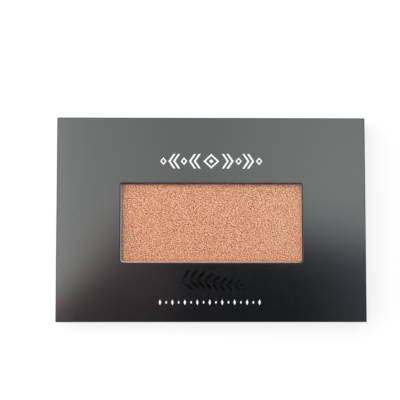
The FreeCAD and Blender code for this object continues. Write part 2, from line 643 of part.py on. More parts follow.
os.makedirs("parts", exist_ok=True)
for sub_part in sub_parts:
    sub_part.Shape.exportStep(f"parts/{sub_part.Label}.step")
    solids = len(sub_part.Shape.Solids)
    print(f"{sub_part.Label}: {solids} solid(s), {sub_part.Shape.Volume:.1f} mm3")
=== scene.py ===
import math
from collections import namedtuple

import bmesh
import bpy
from mathutils import Matrix, Vector, noise


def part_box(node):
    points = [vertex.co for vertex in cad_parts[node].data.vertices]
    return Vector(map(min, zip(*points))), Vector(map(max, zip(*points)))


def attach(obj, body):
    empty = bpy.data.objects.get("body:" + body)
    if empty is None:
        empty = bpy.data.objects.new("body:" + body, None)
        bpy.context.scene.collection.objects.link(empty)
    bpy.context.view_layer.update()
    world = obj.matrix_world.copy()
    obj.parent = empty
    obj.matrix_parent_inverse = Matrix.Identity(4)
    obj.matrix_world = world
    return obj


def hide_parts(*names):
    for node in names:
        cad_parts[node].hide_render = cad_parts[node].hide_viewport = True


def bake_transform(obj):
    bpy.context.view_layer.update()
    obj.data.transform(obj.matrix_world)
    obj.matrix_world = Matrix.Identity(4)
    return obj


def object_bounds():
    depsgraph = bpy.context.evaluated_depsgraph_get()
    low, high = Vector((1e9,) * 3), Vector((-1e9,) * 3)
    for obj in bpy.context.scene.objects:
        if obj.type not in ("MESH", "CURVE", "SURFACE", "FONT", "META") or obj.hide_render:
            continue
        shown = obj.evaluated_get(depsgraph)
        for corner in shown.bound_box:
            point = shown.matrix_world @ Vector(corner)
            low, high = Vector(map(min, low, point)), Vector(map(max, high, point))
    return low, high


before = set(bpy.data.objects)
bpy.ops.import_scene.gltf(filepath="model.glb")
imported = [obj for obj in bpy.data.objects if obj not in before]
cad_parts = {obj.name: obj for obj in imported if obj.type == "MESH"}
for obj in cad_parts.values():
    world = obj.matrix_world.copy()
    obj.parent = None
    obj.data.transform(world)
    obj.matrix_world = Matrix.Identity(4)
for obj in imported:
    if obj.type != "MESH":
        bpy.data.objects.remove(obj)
cad_low, cad_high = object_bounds()

# A flat make-up palette: a case of boards wrapped in black paper, with a window in its lid over
# one pan of copper powder. Every CAD node gets its material here. The powder's pressed face, the
# window's film, the crease between the spine and the lid and the print on the lid are new pieces.

MM = 0.001
LID_BODY = "lid"
CASE_BODY = "case"
LEFT, RIGHT, BACK, UP = (-1, 0, 0), (1, 0, 0), (0, 1, 0), (0, 0, 1)
WHITE = (1, 1, 1, 1)

Box = namedtuple("Box", "low high centre half_width half_depth")


def node_box(name):
    """A node's box at rest, with its middle and half of each level side."""
    low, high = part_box(name)
    return Box(low, high, (low + high) / 2, (high.x - low.x) / 2, (high.y - low.y) / 2)


LID = node_box("lid_wrap")
# The middle of the lid's upper face. The print, the light bank and the camera go by it.
FACE = Vector((LID.centre.x, LID.centre.y, LID.high.z))


# --- node helpers ------------------------------------------------------------------------------

def feed(tree, node, inputs):
    """Set inputs of a node, each to a constant or to another node's output."""
    for key, value in inputs.items():
        if isinstance(value, bpy.types.NodeSocket):
            tree.links.new(value, node.inputs[key])
        else:
            node.inputs[key].default_value = value


def add_node(tree, kind, inputs=None, **settings):
    """A node with its own settings made and its inputs fed."""
    node = tree.nodes.new(kind)
    for key, value in settings.items():
        setattr(node, key, value)
    feed(tree, node, inputs or {})
    return node


def new_material(name):
    """A material, its node tree and its Principled shader."""
    material = bpy.data.materials.new(name)
    material.use_nodes = True
    tree = material.node_tree
    return material, tree, tree.nodes["Principled BSDF"]


def object_space(tree, stretch=(1, 1, 1), turn=0.0):
    """The object's own coordinates in metres, scaled along each axis and turned about Z."""
    mapping = add_node(tree, "ShaderNodeMapping", {
        "Vector": add_node(tree, "ShaderNodeTexCoord").outputs["Object"],
        "Scale": stretch,
        "Rotation": (0, 0, math.radians(turn)),
    })
    return mapping.outputs["Vector"]


def noise_texture(tree, place, size, detail=2.0, roughness=0.5):
    """Noise whose features are about `size` metres across."""
    return add_node(tree, "ShaderNodeTexNoise", {
        "Vector": place,
        "Scale": 1 / size,
        "Detail": detail,
        "Roughness": roughness,
    })


def noise_value(tree, size, detail=2.0, roughness=0.5, stretch=(1, 1, 1)):
    """A level from 0 to 1 that follows noise in the object's own space."""
    place = object_space(tree, stretch)
    return noise_texture(tree, place, size, detail, roughness).outputs["Fac"]


def stirred(tree, place, size, reach):
    """The place shifted by noise with features `size` metres across, at most `reach` metres."""
    shift = add_node(tree, "ShaderNodeVectorMath", {
        0: noise_texture(tree, place, size).outputs["Color"],
        1: (reach, reach, reach),
        2: place,
    }, operation="MULTIPLY_ADD")
    return shift.outputs["Vector"]


def cell_texture(tree, size, flat=False, turn=0.0, ragged=0.0):
    """Cells about `size` metres across, in space or on the level plane alone.

    Their edges wander by up to `ragged` metres."""
    place = object_space(tree, turn=turn)
    stir_size = 0.8 * size
    if ragged:
        place = stirred(tree, place, stir_size, ragged)
    return add_node(tree, "ShaderNodeTexVoronoi", {"Vector": place, "Scale": 1 / size},
                    voronoi_dimensions="2D" if flat else "3D")


def channels(tree, colour):
    """The red, green and blue of a colour, by name."""
    return add_node(tree, "ShaderNodeSeparateColor", {"Color": colour}).outputs


def grey(level):
    """A neutral colour."""
    return (level, level, level)


def ramp(tree, factor, *stops):
    """A colour ramp through (position, colour) stops."""
    node = add_node(tree, "ShaderNodeValToRGB", {"Fac": factor})
    elements = node.color_ramp.elements
    while len(elements) < len(stops):
        elements.new(0.5)
    for element, (position, colour) in zip(elements, stops):
        element.position = position
        element.color = (*colour, 1)
    return node.outputs["Color"]


def shade(tree, level, low, high, start=0.3, end=0.7):
    """Go from one colour to another over part of a level's range, most of noise's by default."""
    return ramp(tree, level, (start, low), (end, high))


def mix(tree, factor, low, high):
    """Blend two colours, each a constant or a socket, by a factor."""
    # The node has sockets for each kind of data. These are the ones for colours.
    low_input, high_input, result = 6, 7, 2
    low, high = [(*colour, 1) if isinstance(colour, tuple) else colour for colour in (low, high)]
    node = add_node(tree, "ShaderNodeMix", data_type="RGBA")
    feed(tree, node, {"Factor": factor, low_input: low, high_input: high})
    return node.outputs[result]


def calculate(tree, operation, first, second=0):
    """One arithmetic step on two constants or sockets."""
    node = add_node(tree, "ShaderNodeMath", {0: first, 1: second}, operation=operation)
    return node.outputs[0]


def total(tree, first, *others):
    """The sum of constants and sockets."""
    for other in others:
        first = calculate(tree, "ADD", first, other)
    return first


def product(tree, first, *others):
    """The product of constants and sockets."""
    for other in others:
        first = calculate(tree, "MULTIPLY", first, other)
    return first


def remap(tree, value, start, end, low, high, smooth=True):
    """Carry a value from one range to another, held at both ends."""
    node = add_node(tree, "ShaderNodeMapRange", {
        "Value": value,
        "From Min": start,
        "From Max": end,
        "To Min": low,
        "To Max": high,
    }, interpolation_type="SMOOTHSTEP" if smooth else "LINEAR")
    return node.outputs["Result"]


def along(tree, direction, place):
    """How far a place lies along a direction."""
    node = add_node(tree, "ShaderNodeVectorMath", {0: place, 1: direction},
                    operation="DOT_PRODUCT")
    return node.outputs["Value"]


def sideways(tree):
    """1 on upright faces and 0 on level ones."""
    normal = add_node(tree, "ShaderNodeTexCoord").outputs["Normal"]
    level = calculate(tree, "ABSOLUTE", along(tree, UP, normal))
    steep, shallow = 0.25, 0.85
    return remap(tree, level, steep, shallow, 1.0, 0.0)


def seen_rays(tree):
    """1 where a surface is seen directly, mirrored or through something clear, and else 0."""
    path = add_node(tree, "ShaderNodeLightPath").outputs
    seen = calculate(tree, "MAXIMUM", path["Is Camera Ray"], path["Is Glossy Ray"])
    return calculate(tree, "MAXIMUM", seen, path["Is Transmission Ray"])


def bump(tree, shader, *layers):
    """Stack bumps given as (height socket, depth in metres)."""
    normal = None
    for height, depth in layers:
        node = add_node(tree, "ShaderNodeBump", {"Height": height, "Distance": depth})
        if normal:
            feed(tree, node, {"Normal": normal})
        normal = node.outputs["Normal"]
    feed(tree, shader, {"Normal": normal})


# --- materials ---------------------------------------------------------------------------------

def satin_black_paper():
    """Covering paper with a satin laminate, duller where it is drawn over the boards' edges."""
    material, tree, shader = new_material("satin_black_paper")
    tooth = noise_value(tree, size=0.35 * MM, detail=3)
    wave = noise_value(tree, size=9 * MM, detail=2)
    mottle = noise_value(tree, size=2.2 * MM, detail=4)
    grain = noise_value(tree, size=0.8 * MM, detail=2)
    black = shade(tree, mottle, (0.0066, 0.0070, 0.0081), (0.0090, 0.0094, 0.0105))
    # A speck of dust lies in the middle of each of the chosen cells.
    cells = cell_texture(tree, size=9 * MM)
    speck = shade(tree, cells.outputs["Distance"], grey(1), grey(0), start=0.006, end=0.014)
    chosen = shade(tree, cells.outputs["Color"], grey(1), grey(0), start=0.42, end=0.44)
    dust_colour = grey(0.22)
    smoothest, roughest = 0.10, 0.12
    satin = remap(tree, grain, 0.3, 0.7, smoothest, roughest)
    edge_dulling = 0.4
    feed(tree, shader, {
        "Base Color": mix(tree, product(tree, speck, chosen), black, dust_colour),
        "Roughness": total(tree, satin, product(tree, sideways(tree), edge_dulling)),
    })
    bump(tree, shader, (wave, 0.006 * MM), (tooth, 0.0010 * MM))
    return material


def lining_paper():
    """Uncoated black paper with visible fibres."""
    material, tree, shader = new_material("lining_paper")
    fibres = noise_value(tree, size=0.5 * MM, detail=5, roughness=0.7, stretch=(1, 3, 1))
    cloud = noise_value(tree, size=6 * MM, detail=3)
    feed(tree, shader, {
        "Base Color": shade(tree, fibres, (0.010, 0.010, 0.011), (0.028, 0.028, 0.029), end=0.72),
        "Roughness": shade(tree, cloud, grey(0.62), grey(0.74)),
    })
    bump(tree, shader, (fibres, 0.012 * MM))
    return material


def greyboard():
    """Recycled board: grey-brown pulp with dark flecks."""
    material, tree, shader = new_material("greyboard")
    pulp = noise_value(tree, size=1.2 * MM, detail=6, roughness=0.7, stretch=(1, 1, 4))
    flecks = noise_value(tree, size=0.4 * MM, detail=3, roughness=0.8, stretch=(0.4, 1, 3))
    tone = shade(tree, pulp, (0.25, 0.235, 0.215), (0.40, 0.385, 0.36))
    spots = shade(tree, flecks, grey(0), grey(1), start=0.62, end=0.72)
    fleck_colour = (0.12, 0.11, 0.10)
    feed(tree, shader, {
        "Base Color": mix(tree, spots, tone, fleck_colour),
        "Roughness": 0.9,
    })
    bump(tree, shader, (pulp, 0.03 * MM))
    return material


def rolled_metal(name, colour, roughness):
    """Bright sheet with fine rolling lines and slight smudges."""
    material, tree, shader = new_material(name)
    lines = noise_value(tree, size=0.12 * MM, detail=3, stretch=(0.06, 1, 1))
    smudge = noise_value(tree, size=5 * MM, detail=3)
    smudged = tuple(0.82 * channel for channel in colour)
    smoothest, roughest = 0.8 * roughness, 1.3 * roughness
    feed(tree, shader, {
        "Base Color": shade(tree, smudge, smudged, colour, end=0.65),
        "Roughness": shade(tree, lines, grey(smoothest), grey(roughest)),
        "Metallic": 1.0,
    })
    bump(tree, shader, (lines, 0.0015 * MM))
    return material


def hot_melt_glue():
    """Amber glue that lets a little light in."""
    material, tree, shader = new_material("hot_melt_glue")
    cloud = noise_value(tree, size=2 * MM, detail=3)
    feed(tree, shader, {
        "Base Color": shade(tree, cloud, (0.62, 0.52, 0.33), (0.78, 0.70, 0.50)),
        "Roughness": 0.35,
        "Subsurface Weight": 0.3,
        "Subsurface Scale": 0.5 * MM,
    })
    bump(tree, shader, (cloud, 0.03 * MM))
    return material


def clear_film():
    """Thin clear film: almost nothing but a faint gloss."""
    material, tree, shader = new_material("clear_film")
    ripple = noise_value(tree, size=14 * MM, detail=1)
    feed(tree, shader, {
        "Base Color": (0.05, 0.05, 0.05, 1),
        "Alpha": 0.05,
        "Roughness": shade(tree, ripple, grey(0.04), grey(0.08)),
    })
    bump(tree, shader, (ripple, 0.01 * MM))
    return material


def painted_wall_shade(tree):
    """Painted shade: how much darker the powder is made along the pan's wall, where the wall
    shades it.
    """
    cake = node_box("powder_cake")
    place = object_space(tree)
    insets = []
    for axis, middle, half in ((RIGHT, cake.centre.x, cake.half_width),
                               (BACK, cake.centre.y, cake.half_depth)):
        from_middle = calculate(tree, "SUBTRACT", along(tree, axis, place), middle)
        from_middle = calculate(tree, "ABSOLUTE", from_middle)
        insets.append(calculate(tree, "SUBTRACT", half, from_middle))
    inset = calculate(tree, "MINIMUM", *insets)
    full_width, end, darkening = 0.40 * MM, 0.80 * MM, 0.12
    return remap(tree, inset, full_width, end, darkening, 0)


def shimmer_powder():
    """Pressed copper powder: fine grains, pale on top and deep red between, with mica flakes.

    The right end is painted paler, as painted light, and the border along the pan's wall is
    darkened with painted shade."""
    material, tree, shader = new_material("shimmer_powder")
    grains = cell_texture(tree, size=0.40 * MM, flat=True, turn=33, ragged=0.6 * MM)
    flakes = cell_texture(tree, size=0.30 * MM, flat=True, turn=12)
    drift = noise_value(tree, size=12 * MM, detail=2)
    chance = channels(tree, grains.outputs["Color"])
    glint = channels(tree, flakes.outputs["Color"])["Red"]
    crown = remap(tree, grains.outputs["Distance"], 0.15, 0.65, 1, 0, smooth=False)
    # Painted light: the powder is made a little darker at its left end and paler towards its
    # right end, as if lit more there.
    painted_light_to_right = remap(tree, along(tree, RIGHT, object_space(tree)),
                     -2 * MM, 30 * MM, -0.012, 0.038)
    # Light stands for how pale the powder is, from 0 between the grains to 1 on top of them.
    crown_share, glint_share, chance_share = 0.68, 0.12, 0.20
    light = total(tree, product(tree, crown, crown_share), product(tree, glint, glint_share),
                  product(tree, chance["Red"], chance_share), painted_light_to_right)
    # Painted shade along the pan's wall darkens the powder's border.
    light = calculate(tree, "SUBTRACT", light, painted_wall_shade(tree))
    tone = ramp(tree, light,
                (0.16, (0.31, 0.012, 0.000)),
                (0.39, (0.55, 0.140, 0.045)),
                (0.61, (0.76, 0.380, 0.210)),
                (0.84, (0.93, 0.790, 0.620)))
    pink, olive, tan = (0.80, 0.275, 0.225), (0.64, 0.385, 0.160), (0.74, 0.37, 0.22)
    tint_share, tan_share = 0.35, 0.12
    tone = mix(tree, product(tree, chance["Green"], tint_share), tone, pink)
    tone = mix(tree, product(tree, chance["Blue"], tint_share), tone, olive)
    smoothest, roughest = 0.36, 0.62
    feed(tree, shader, {
        "Base Color": mix(tree, remap(tree, drift, 0.35, 0.65, 0.0, tan_share), tone, tan),
        "Metallic": 0.25,
        "Specular IOR Level": 0.2,
        "Roughness": remap(tree, glint, 0.1, 0.9, smoothest, roughest, smooth=False),
    })
    bump(tree, shader, (crown, 0.03 * MM), (glint, 0.02 * MM))
    return material


def white_ink():
    """Opaque printed ink with slightly uneven cover."""
    material, tree, shader = new_material("white_ink")
    cover = noise_value(tree, size=0.3 * MM, detail=3)
    feed(tree, shader, {
        "Base Color": shade(tree, cover, grey(0.82), grey(0.90), end=0.6),
        "Roughness": 0.45,
    })
    bump(tree, shader, (cover, 0.002 * MM))
    return material


def spot_varnish():
    """Gloss varnish over the black paper, deeper in tone than the satin round it."""
    material, tree, shader = new_material("spot_varnish")
    flow = noise_value(tree, size=1.5 * MM, detail=2)
    feed(tree, shader, {
        "Base Color": shade(tree, flow, (0.0022, 0.0022, 0.0025), (0.0042, 0.0042, 0.0046)),
        "Specular IOR Level": 0.46,
        "Roughness": 0.07,
    })
    bump(tree, shader, (flow, 0.003 * MM))
    return material


BLACK_PAPER = satin_black_paper()
LINING = lining_paper()
BOARD = greyboard()
TINPLATE = rolled_metal("tinplate", (0.66, 0.65, 0.64), 0.36)
NICKEL = rolled_metal("nickel_plate", (0.70, 0.68, 0.62), 0.16)
GLUE = hot_melt_glue()
FILM = clear_film()
POWDER = shimmer_powder()
INK = white_ink()
VARNISH = spot_varnish()

NODES_BY_MATERIAL = (
    (BLACK_PAPER, ("case_wrap", "tray_wrap", "lid_wrap")),
    (LINING, ("hinge_lining", "lid_liner")),
    (BOARD, ("back_board", "spine_board", "tray_floor_board", "tray_lower_board",
             "tray_upper_board", "lid_board")),
    (TINPLATE, ("pan",)),
    (NICKEL, ("tray_magnets", "lid_magnets")),
    (GLUE, ("pan_glue_spots",)),
    (FILM, ("window_film",)),
    (POWDER, ("powder_cake",)),
)
for node_material, node_names in NODES_BY_MATERIAL:
    for node_name in node_names:
        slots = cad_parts[node_name].data.materials
        slots.clear()
        slots.append(node_material)


# --- mesh helpers ------------------------------------------------------------------------------

def new_piece(name, vertices, faces, material, smooth=False):
    """A mesh object with outward faces."""
    mesh = bpy.data.meshes.new(name)
    mesh.from_pydata(vertices, [], faces)
    shape = bmesh.new()
    shape.from_mesh(mesh)
    bmesh.ops.recalc_face_normals(shape, faces=shape.faces)
    shape.to_mesh(mesh)
    shape.free()
    mesh.materials.append(material)
    for polygon in mesh.polygons:
        polygon.use_smooth = smooth
    piece = bpy.data.objects.new(name, mesh)
    bpy.context.collection.objects.link(piece)
    return piece


def ring_wall(first, second):
    """Four-sided faces that join two closed rings of vertex numbers."""
    count = len(first)
    faces = []
    for index in range(count):
        after = (index + 1) % count
        faces.append((first[index], first[after], second[after], second[index]))
    return faces


def band_solid(outer, inner, low, high):
    """Vertices and faces of a thin closed band between two outlines of equal length."""
    loops = ((outer, low), (outer, high), (inner, high), (inner, low))
    vertices = [(x, y, z) for outline, z in loops for x, y in outline]
    count = len(outer)
    rings = [range(count * loop, count * (loop + 1)) for loop in range(len(loops))]
    faces = []
    for ring, following in zip(rings, rings[1:] + rings[:1]):
        faces += ring_wall(ring, following)
    return vertices, faces


def plate_solid(outline, low, high):
    """Vertices and faces of a thin closed plate."""
    vertices = [(x, y, z) for z in (low, high) for x, y in outline]
    under, over = range(len(outline)), range(len(outline), 2 * len(outline))
    return vertices, [tuple(under), tuple(over)] + ring_wall(under, over)


def joined(solids):
    """One list of vertices and one of faces from several solids."""
    vertices, faces = [], []
    for points, loops in solids:
        offset = len(vertices)
        vertices += points
        faces += [tuple(index + offset for index in loop) for loop in loops]
    return vertices, faces


def grid_faces(columns, rows):
    """Four-sided faces over vertices that are laid out row by row."""
    return [(start, start + 1, start + columns + 1, start + columns)
            for row in range(rows - 1)
            for start in range(row * columns, (row + 1) * columns - 1)]


def grid_rim(columns, rows):
    """The numbers of the outermost vertices of such a grid, in order round it."""
    last_row = (rows - 1) * columns
    rim = list(range(columns))
    rim += range(2 * columns - 1, last_row + columns, columns)
    rim += range(last_row + columns - 2, last_row - 1, -1)
    rim += range(last_row - columns, 0, -columns)
    return rim


def rounded_half_width(y, box, corner):
    """Half the width of a box with rounded corners, at a distance `y` from its middle."""
    reach = max(abs(y) - (box.half_depth - corner), 0)
    return box.half_width - corner + math.sqrt(max(corner ** 2 - reach ** 2, 0))


# --- pressed powder ----------------------------------------------------------------------------

def graded(half, fine, fine_count, coarse):
    """Places from -half to half, close together near both ends."""
    edge = [half - fine * step for step in range(fine_count + 1)]
    inner = half - fine * fine_count
    steps = max(2, round(2 * inner / coarse))
    middle = [-inner + 2 * inner * step / steps for step in range(1, steps)]
    return [-place for place in edge] + middle + edge[::-1]


def wall_distance(x, y, box, corner):
    """How far a point lies inside the edge of a box with rounded corners."""
    dx = abs(x) - (box.half_width - corner)
    dy = abs(y) - (box.half_depth - corner)
    outside = math.hypot(max(dx, 0), max(dy, 0))
    return corner - outside - min(max(dx, dy), 0)


def ease(value):
    """A smooth rise from 0 to 1 as the value goes from 0 to 1, held at both ends."""
    value = min(max(value, 0), 1)
    return value * value * (3 - 2 * value)


def powder_height(x, y, box, corner):
    """The powder's face against the top of its box, negative below it.

    A loose ridge stands along the wall, then comes the die's groove, then the pressed face."""
    ridge_width, ridge_slope, ridge_drop = 0.35 * MM, 0.16 * MM, 0.2 * MM
    groove_place, groove_width, groove_depth = 0.14 * MM, 0.09 * MM, 0.09 * MM
    inset = wall_distance(x, y, box, corner) - ridge_width
    step = ease(inset / ridge_slope)
    groove = math.exp(-((inset - groove_place) / groove_width) ** 2)
    # The relief's features and their heights are in millimetres.
    grain_size, crumb_size, swell_size, lump_size = 0.45, 0.22, 9, 0.5
    place = Vector((x, y, 0)) / MM
    grain = noise.turbulence(place / grain_size, 2, True, amplitude_scale=0.6,
                             frequency_scale=2.1)
    crumbs = noise.noise(place / crumb_size + Vector((7, 3, 1)))
    swell = noise.noise(place / swell_size)
    lumps = noise.noise(place / lump_size + Vector((0, 0, 5)))
    face = -0.022 * grain + 0.012 * crumbs + 0.012 * swell
    loose = 0.05 * lumps - 0.05
    rough = face * step + loose * (1 - step)
    return -ridge_drop * step - groove_depth * groove + rough * MM


def pressed_powder():
    """The cake with its grainy pressed face, on a plain body that fills the pan."""
    box = node_box("powder_cake")
    corner = 0.9 * MM
    floor_round = 0.6 * MM
    fine_pitch, fine_count, pitch = 0.07 * MM, 11, 0.2 * MM
    rows = graded(box.half_depth, fine_pitch, fine_count, pitch)
    columns = graded(1, fine_pitch / box.half_width, fine_count, pitch / box.half_width)
    vertices = []
    for y in rows:
        width = rounded_half_width(y, box, corner)
        for column in columns:
            x = column * width
            vertices.append((box.centre.x + x, box.centre.y + y,
                             box.high.z + powder_height(x, y, box, corner)))
    faces = grid_faces(len(columns), len(rows))
    rim = grid_rim(len(columns), len(rows))
    above = rim
    for inset, z in ((0, box.low.z + floor_round), (floor_round, box.low.z)):
        scale_x = 1 - inset / box.half_width
        scale_y = 1 - inset / box.half_depth
        below = range(len(vertices), len(vertices) + len(rim))
        for index in rim:
            x, y, _ = vertices[index]
            vertices.append((box.centre.x + (x - box.centre.x) * scale_x,
                             box.centre.y + (y - box.centre.y) * scale_y, z))
        faces += ring_wall(above, below)
        above = below
    faces.append(tuple(above))
    cake = new_piece("pressed_powder", vertices, faces, POWDER, smooth=True)
    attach(cake, CASE_BODY)
    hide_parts("powder_cake")


# --- window film -------------------------------------------------------------------------------

def window_pane():
    """The clear film, very slightly rippled, a hair clear of the paper above and below it."""
    box = node_box("window_film")
    corner = 1.0 * MM
    clearance = 0.02 * MM
    ripple, ripple_size = 0.008 * MM, 9 * MM
    column_steps, row_steps = 56, 28
    vertices = []
    for z in (box.low.z + clearance, box.high.z - clearance):
        for row in range(row_steps + 1):
            y = box.half_depth * (2 * row / row_steps - 1)
            width = rounded_half_width(y, box, corner)
            for column in range(column_steps + 1):
                x = width * (2 * column / column_steps - 1)
                wave = ripple * noise.noise(Vector((x, y, 0)) / ripple_size)
                vertices.append((box.centre.x + x, box.centre.y + y, z + wave))
    grid = (column_steps + 1, row_steps + 1)
    offset = len(vertices) // 2
    faces = []
    for lower in grid_faces(*grid):
        faces += [lower, tuple(offset + index for index in lower)]
    rim = grid_rim(*grid)
    faces += ring_wall(rim, [offset + index for index in rim])
    pane = new_piece("window_pane", vertices, faces, FILM, smooth=True)
    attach(pane, LID_BODY)
    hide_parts("window_film")


# --- the crease --------------------------------------------------------------------------------

def crease_paper():
    """The bend of the covering paper, which joins the spine's sheet to the lid's."""
    case = node_box("case_wrap")
    spine = node_box("spine_board")
    top, lid_bottom = case.high.z, LID.low.z
    half, outside, inside = case.high.x, case.high.y, spine.high.y
    section = ((-half, inside), (half, inside), (half, outside), (-half, outside))
    steps = 8
    vertices, rings = [], []
    for step in range(steps + 1):
        z = top + (lid_bottom - top) * step / steps
        rings.append(range(len(vertices), len(vertices) + len(section)))
        vertices += [(x, y, z) for x, y in section]
    faces = []
    for ring, following in zip(rings, rings[1:]):
        faces += ring_wall(ring, following)
    faces += [tuple(rings[0]), tuple(rings[-1])]
    bend = new_piece("crease_paper", vertices, faces, BLACK_PAPER)
    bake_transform(bend)


# --- print on the lid --------------------------------------------------------------------------

INK_LOW = FACE.z - 0.004 * MM
INK_HIGH = FACE.z + 0.010 * MM
VARNISH_HIGH = INK_HIGH + 0.006 * MM


def lozenge(x, y, width, height):
    """The four corners of a lozenge."""
    return [(x - width / 2, y), (x, y - height / 2), (x + width / 2, y), (x, y + height / 2)]


def lozenge_plate(x, y, width, height):
    """A filled lozenge."""
    return plate_solid(lozenge(x, y, width, height), INK_LOW, INK_HIGH)


def lozenge_band(x, y, width, height, stroke):
    """An outlined lozenge whose line is as wide as the stroke."""
    slope = math.hypot(width, height)
    inner_width = width - 2 * stroke * slope / height
    inner_height = height - 2 * stroke * slope / width
    return band_solid(lozenge(x, y, width, height), lozenge(x, y, inner_width, inner_height),
                      INK_LOW, INK_HIGH)


def chevron(x, y, width, height, stroke):
    """A thin angle whose point lies at `x + width`; a negative width points it the other way."""
    slope = math.hypot(width, height / 2)
    across = math.copysign(stroke * slope / (height / 2), width)
    arms = []
    for end in (y + height / 2, y - height / 2):
        arm = [(x, end), (x + across, end), (x + width, y), (x + width - across, y)]
        arms.append(plate_solid(arm, INK_LOW, INK_HIGH))
    return joined(arms)


def finish_print(name, solids, material):
    """One printed piece, carried by the lid."""
    vertices, faces = joined(solids)
    piece = new_piece(name, vertices, faces, material)
    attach(piece, LID_BODY)


def upper_ornament():
    """Nested lozenges in the middle, with chevrons and small lozenges to each side."""
    y = FACE.y + 19.8 * MM
    height, stroke = 5.0 * MM, 0.5 * MM
    middle_width, dot_width, dot_height = 5.4 * MM, 1.5 * MM, 1.4 * MM
    chevron_width = 2.4 * MM
    chevron_starts = (3.6 * MM, 5.2 * MM, 10.6 * MM, 12.2 * MM)
    small_width, small_height, small_stroke = 2.2 * MM, 2.6 * MM, 0.8 * stroke
    small_places = (9.3 * MM, 16.3 * MM)
    solids = [lozenge_band(FACE.x, y, middle_width, height, stroke),
              lozenge_plate(FACE.x, y, dot_width, dot_height)]
    for side in (-1, 1):
        for start in chevron_starts:
            solids.append(chevron(FACE.x + side * start, y, side * chevron_width, height,
                                  stroke))
        for place in small_places:
            solids.append(lozenge_band(FACE.x + side * place, y, small_width, small_height,
                                       small_stroke))
    finish_print("print_upper_ornament", solids, INK)


def lower_ornament():
    """A fine row of lozenges, tall and small in turn."""
    y = FACE.y - 28.1 * MM
    middle = FACE.x - 0.55 * MM
    pitch, count = 2.10 * MM, 17
    tall, small = (0.85 * MM, 1.9 * MM), (0.65 * MM, 1.1 * MM)
    solids = []
    for index in range(count):
        x = middle + (index - (count - 1) / 2) * pitch
        solids.append(lozenge_plate(x, y, *(small if index % 2 else tall)))
    finish_print("print_lower_ornament", solids, INK)


def ribbon_solid(points, widths, low, high):
    """A flat ribbon along points, with its own width at each."""
    left, right = [], []
    last = len(points) - 1
    for index, (point, width) in enumerate(zip(points, widths)):
        before = Vector(points[max(index - 1, 0)])
        after = Vector(points[min(index + 1, last)])
        direction = (after - before).normalized()
        across = Vector((-direction.y, direction.x)) * width / 2
        left.append(tuple(Vector(point) + across))
        right.append(tuple(Vector(point) - across))
    rings = []
    vertices = []
    for (left_x, left_y), (right_x, right_y) in zip(left, right):
        rings.append(range(len(vertices), len(vertices) + 4))
        vertices += [(left_x, left_y, low), (left_x, left_y, high),
                     (right_x, right_y, high), (right_x, right_y, low)]
    faces = [tuple(rings[0]), tuple(rings[-1])]
    for ring, following in zip(rings, rings[1:]):
        faces += ring_wall(ring, following)
    return vertices, faces


def leaf_outline(x, y, length, width, angle):
    """A pointed leaf that starts at a point and leans at an angle."""
    steps = 8
    fullness = 0.8
    outline = []
    for side in (1, -1):
        for step in range(steps):
            share = step / steps if side == 1 else 1 - step / steps
            bulge = side * width / 2 * math.sin(math.pi * share) ** fullness
            ahead = length * share
            outline.append((x + ahead * math.cos(angle) - bulge * math.sin(angle),
                            y + ahead * math.sin(angle) + bulge * math.cos(angle)))
    return outline


def varnish_sprig():
    """A bent stem with pairs of slender leaves in gloss varnish, smaller to the right."""
    start, length = FACE.x - 11.6 * MM, 20.5 * MM
    base, bend, half_waves = FACE.y - 21.4 * MM, 0.9 * MM, 1.6
    stroke, thinning, steps = 0.34 * MM, 0.5, 60
    pairs, first_share, lean = 8, 0.6, 46
    first_leaf, leaf_shrink, end_leaf, leaf_slimness = 4.9 * MM, 2.6 * MM, 2.4 * MM, 0.27

    def stem(share):
        return start + length * share, base + bend * math.sin(half_waves * math.pi * share)

    def leaf(share, size, turn):
        x, y = stem(share)
        nudge = 0.01
        before, after = Vector(stem(share - nudge)), Vector(stem(share + nudge))
        angle = math.atan2(after.y - before.y, after.x - before.x) + math.radians(turn)
        clear = 0.6 * stroke
        outline = leaf_outline(x + clear * math.cos(angle), y + clear * math.sin(angle),
                               size, leaf_slimness * size, angle)
        return plate_solid(outline, INK_LOW, VARNISH_HIGH)

    points = [stem(step / steps) for step in range(steps + 1)]
    widths = [stroke * (1 - thinning * step / steps) for step in range(steps + 1)]
    solids = [ribbon_solid(points, widths, INK_LOW, VARNISH_HIGH)]
    for pair in range(pairs):
        share = (pair + first_share) / pairs
        size = first_leaf - leaf_shrink * share
        solids += [leaf(share, size, lean), leaf(share, size, -lean)]
    solids.append(leaf(1.0, end_leaf, 0))
    finish_print("varnish_sprig", solids, VARNISH)


pressed_powder()
window_pane()
crease_paper()
upper_ornament()
lower_ornament()
varnish_sprig()


# --- light, floor and camera -------------------------------------------------------------------

def stage_sheet(name, corners, material):
    """A flat sheet that isn't part of the object."""
    sheet = new_piece(name, corners, [tuple(range(len(corners)))], material)
    return sheet


def level_square(half, z):
    """The corners of a level square round the frame's upright axis."""
    return [(-half, -half, z), (half, -half, z), (half, half, z), (-half, half, z)]


def pale_floor():
    """Pale floor: keeps the shadow, and looks white where it is seen or mirrored."""
    material, tree, shader = new_material("pale_floor")
    half = 3.0
    # Added to the light that falls on the floor, this makes it white.
    whitening = 0.80
    feed(tree, shader, {
        "Base Color": (0.22, 0.22, 0.22, 1),
        "Roughness": 0.9,
        "Specular IOR Level": 0.0,
        "Emission Color": WHITE,
        "Emission Strength": product(tree, seen_rays(tree), whitening),
    })
    stage_sheet("floor", level_square(half, cad_low.z), material)


